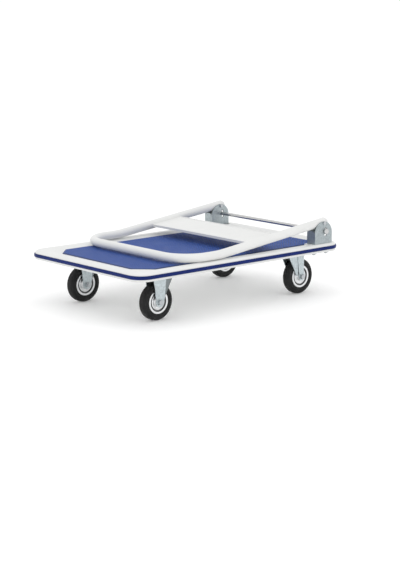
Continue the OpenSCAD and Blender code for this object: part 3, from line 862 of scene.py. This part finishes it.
class CART_OT_wheels(bpy.types.Operator):
    """Mould the four tyres and press the four rims"""

    bl_idname = "cart.wheels"
    bl_label = "Wheels"

    rim_half_width = 0.0125
    groove_radii = (0.0218, 0.0257)

    def execute(self, context):
        steps = context.scene.cart_metal.round_steps
        for wheel in WHEELS:
            low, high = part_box(wheel + "_tyre")
            rim_low, rim_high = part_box(wheel + "_rim")
            rim_radius = (rim_high.z - rim_low.z) / 2
            centre = centre_of(wheel + "_tyre")
            tyre = lathe(wheel + "_solid_tyre", tyre_section(low, high, rim_radius), centre, steps)
            finish_piece(tyre, wheel + "_tyre", wheel + "_tyre")
            rim = lathe(wheel + "_pressed_rim", rim_section(self.rim_half_width, rim_radius), centre, steps)
            # Painted shade in the rim's groove.
            dull_faces(rim, lambda place, _normal: self.in_groove(place, centre))
            finish_piece(rim, wheel + "_rim", wheel + "_rim")
        return {"FINISHED"}

    def in_groove(self, place, centre):
        """One for a place in the rim's groove, which gets painted shade, else zero."""
        radius = math.hypot(place.x - centre.x, place.z - centre.z)
        return float(self.groove_radii[0] < radius < self.groove_radii[1])


# ---------------------------------------------------------------- metalwork


class CART_OT_metalwork(bpy.types.Operator):
    """Round the cut edges of brackets, forks, plates, panel, bolts and nuts"""

    bl_idname = "cart.metalwork"
    bl_label = "Metalwork"

    sheets = (
        "left_hinge_bracket", "right_hinge_bracket", "front_left_fork", "front_right_fork",
        "left_swivel_fork", "right_swivel_fork", "swivel_top_plates", "handle_panel", "front_channel",
        "rear_channel", "stiffener_rails", "hinge_end_cams",
    )
    hardware = (
        "bracket_bolts", "bracket_nuts", "front_axles", "front_axle_nuts", "caster_bolts", "caster_nuts",
        "left_axle", "left_axle_nut", "right_axle", "right_axle_nut", "pivot_bolts", "pivot_nuts",
    )

    wing_drop = 0.004

    def execute(self, context):
        sizes = context.scene.cart_metal
        for node in self.sheets:
            made = softened(node, node + "_finished", sizes.sheet_edge)
            if node.endswith("hinge_bracket"):
                # Painted shade over the whole bracket.
                dull_faces(made, lambda _place, _normal: sizes.bracket_dull)
            elif node.startswith("front") and node.endswith("fork"):
                # Painted shade on the fixed forks' set-back wings.
                dull_faces(made, lambda place, normal: self.painted_shade_on_wing(place, normal, made, sizes))
        for node in self.hardware:
            softened(node, node + "_finished", sizes.bolt_edge)
        return {"FINISHED"}

    def painted_shade_on_wing(self, place, normal, fork, sizes):
        """How much painted shade a face of a fixed fork gets: its set-back wings are painted darker than its
        straps, in place of the shade on real wings that are pressed at an angle.
        """
        middle = centre_of(fork.name.removesuffix("_finished"))
        across = abs(place.y - middle.y)
        flat = abs(normal.y) > 0.9 and place.z < TRAY_LOW.z - self.wing_drop
        return sizes.wing_dull if flat and across < sizes.strap_face else 0.0


class CART_OT_springs(bpy.types.Operator):
    """Wind the release springs"""

    bl_idname = "cart.springs"
    bl_label = "Release springs"

    solid_play = 0.0005

    def execute(self, context):
        sizes = context.scene.cart_metal
        low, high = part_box("release_springs")
        wire = sizes.spring_wire
        radius = (high.x - low.x) / 2 - wire
        middle = (low.x + high.x) / 2
        side = high.y - radius - wire
        mesh = bpy.data.meshes.new("spring_seats")
        mesh.from_pydata([(middle, y, low.z + wire) for y in (-side, side)], [], [])
        springs = new_object("release_coils", mesh)
        tree, ids = coil_tree()
        grown(springs, tree, ids, {
            "Turns": sizes.spring_turns, "Radius": radius, "Height": high.z - low.z - 2 * wire,
            "Wire": wire, "Material": FINISHES["bolt_steel"](),
        })
        shade(springs)
        finish_piece(springs, "release_springs", "release_springs")
        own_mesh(springs)
        return {"FINISHED"}


class CART_OT_welds(bpy.types.Operator):
    """Weld the panel to the handle's legs"""

    bl_idname = "cart.welds"
    bl_label = "Welds"

    tube_radius = 0.012
    flange = 0.007
    end_margins = (0.002, 0.003)
    # Height over the leg's axis and distance inside it, for the upper and the lower weld
    lines = ((0.0030, 0.0114), (-0.0052, 0.0104))

    def execute(self, context):
        sizes = context.scene.cart_metal
        low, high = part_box("handle_panel")
        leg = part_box("handle_tube")[1].y - self.tube_radius
        pivot = Vector(JOINTS["handle_fold"]["pos_m"])
        slope = math.atan2(high.z - low.z - self.flange, high.x - low.x)
        away = Vector((math.cos(slope), 0, math.sin(slope)))
        up = Vector((-math.sin(slope), 0, math.cos(slope)))
        start = (pivot.x - high.x + self.end_margins[0]) / math.cos(slope)
        stop = (pivot.x - low.x - self.end_margins[1]) / math.cos(slope)
        mesh = bpy.data.meshes.new("weld_lines")
        points, edges = [], []
        for side in (-1, 1):
            for rise, inward in self.lines:
                base = Vector((pivot.x, side * (leg - inward), pivot.z)) + up * rise
                edges.append((len(points), len(points) + 1))
                points += [base - away * start, base - away * stop]
        mesh.from_pydata(points, edges, [])
        welds = new_object("panel_welds", mesh)
        tree, ids = ripple_tree()
        grown(welds, tree, ids, {
            "Pitch": sizes.weld_pitch, "Radius": sizes.weld, "Material": FINISHES["white_enamel"](),
        })
        shade(welds)
        finish_piece(welds, "handle_panel")
        return {"FINISHED"}


class CART_OT_paint(bpy.types.Operator):
    """Give every CAD node that still shows its own finish"""

    bl_idname = "cart.paint"
    bl_label = "Finishes"

    def execute(self, context):
        for node, piece in frame["nodes"].items():
            if not piece.hide_render:
                piece.data.materials.clear()
                piece.data.materials.append(FINISHES[SLOT_OF[node]]())
        return {"FINISHED"}


# ---------------------------------------------------------------- stage


def area_light(name, place, target, size, power):
    """A soft rectangular light that looks at a target."""
    data = bpy.data.lights.new(name, "AREA")
    data.shape = "RECTANGLE"
    data.size, data.size_y = size
    data.energy = power
    lamp = new_object(name, data)
    lamp.location = place
    lamp.rotation_mode = "QUATERNION"
    lamp.rotation_quaternion = (Vector(target) - Vector(place)).to_track_quat("-Z", "Y")
    return lamp


class CART_OT_stage(bpy.types.Operator):
    """Set the pale floor, the soft lights and the camera"""

    bl_idname = "cart.stage"
    bl_label = "Studio"

    # Place, target and size of each light
    top_light = ((-0.4, -0.5, 2.6), (0.05, 0.05, 0.1), (3.2, 2.6))
    fill_light = ((-2.6, -1.2, 1.4), (0, 0, 0.1), (1.6, 1.6))
    floor_half = 30
    floor_grey = 0.93
    floor_glow = 0.14

    def execute(self, context):
        settings = context.scene.cart_stage
        context.scene.view_settings.view_transform = "Standard"
        world = bpy.data.worlds.new("Studio")
        world.use_nodes = True
        light = world.node_tree.nodes["Background"]
        light.inputs["Color"].default_value = (1, 1, 1, 1)
        light.inputs["Strength"].default_value = settings.sky
        context.scene.world = world
        self.floor()
        area_light("Top light", *self.top_light, settings.key)
        area_light("Fill light", *self.fill_light, settings.fill)
        self.camera(context, settings)
        return {"FINISHED"}

    def floor(self):
        bm = bmesh.new()
        bmesh.ops.create_grid(bm, x_segments=1, y_segments=1, size=self.floor_half)
        floor = object_from("studio_floor", bm, outward=False)
        made, _tree, shader, _place = new_finish("Studio floor", (self.floor_grey,) * 3, 0.0, 0.8)
        shader.inputs["Emission Color"].default_value = (1, 1, 1, 1)
        shader.inputs["Emission Strength"].default_value = self.floor_glow
        floor.data.materials.append(made)

    def camera(self, context, settings):
        data = bpy.data.cameras.new("Camera")
        data.lens = settings.lens
        camera = new_object("Camera", data)
        turn, tilt = settings.azimuth, settings.elevation
        ahead = Vector((
            -math.sin(turn) * math.cos(tilt), math.cos(turn) * math.cos(tilt), -math.sin(tilt)
        ))
        camera.location = settings.eye
        camera.rotation_mode = "QUATERNION"
        camera.rotation_quaternion = ahead.to_track_quat("-Z", "Y")
        context.scene.camera = camera


# ---------------------------------------------------------------- add-on


class CART_PT_panel(bpy.types.Panel):
    """Lists the cart's pieces in the order they are made."""

    bl_idname = "CART_PT_panel"
    bl_label = "Folding platform cart"
    bl_space_type = "VIEW_3D"
    bl_region_type = "UI"
    bl_category = "Cart"

    def draw(self, context):
        layout = self.layout
        for operator in OPERATORS:
            layout.operator(operator.bl_idname)
        for name in GROUPS:
            group = getattr(context.scene, name)
            box = layout.box()
            for key in group.bl_rna.properties.keys():
                if key not in {"rna_type", "name"}:
                    box.prop(group, key)


OPERATORS = (
    CART_OT_stage, CART_OT_deck, CART_OT_mat, CART_OT_bumper, CART_OT_wheels, CART_OT_metalwork,
    CART_OT_springs, CART_OT_welds, CART_OT_paint,
)
GROUPS = {
    "cart_deck": CartDeckSizes,
    "cart_metal": CartMetalSizes,
    "cart_colours": CartColours,
    "cart_stage": CartStage,
}


def register():
    for group in GROUPS.values():
        bpy.utils.register_class(group)
    for name, group in GROUPS.items():
        setattr(bpy.types.Scene, name, PointerProperty(type=group))
    for operator in OPERATORS:
        bpy.utils.register_class(operator)
    bpy.utils.register_class(CART_PT_panel)


def unregister():
    bpy.utils.unregister_class(CART_PT_panel)
    for operator in reversed(OPERATORS):
        bpy.utils.unregister_class(operator)
    for name in GROUPS:
        delattr(bpy.types.Scene, name)
    for group in reversed(GROUPS.values()):
        bpy.utils.unregister_class(group)


def main():
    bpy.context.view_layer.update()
    register()
    for operator in OPERATORS:
        family, name = operator.bl_idname.split(".")
        getattr(getattr(bpy.ops, family), name)()


if __name__ == "__main__":
    main()
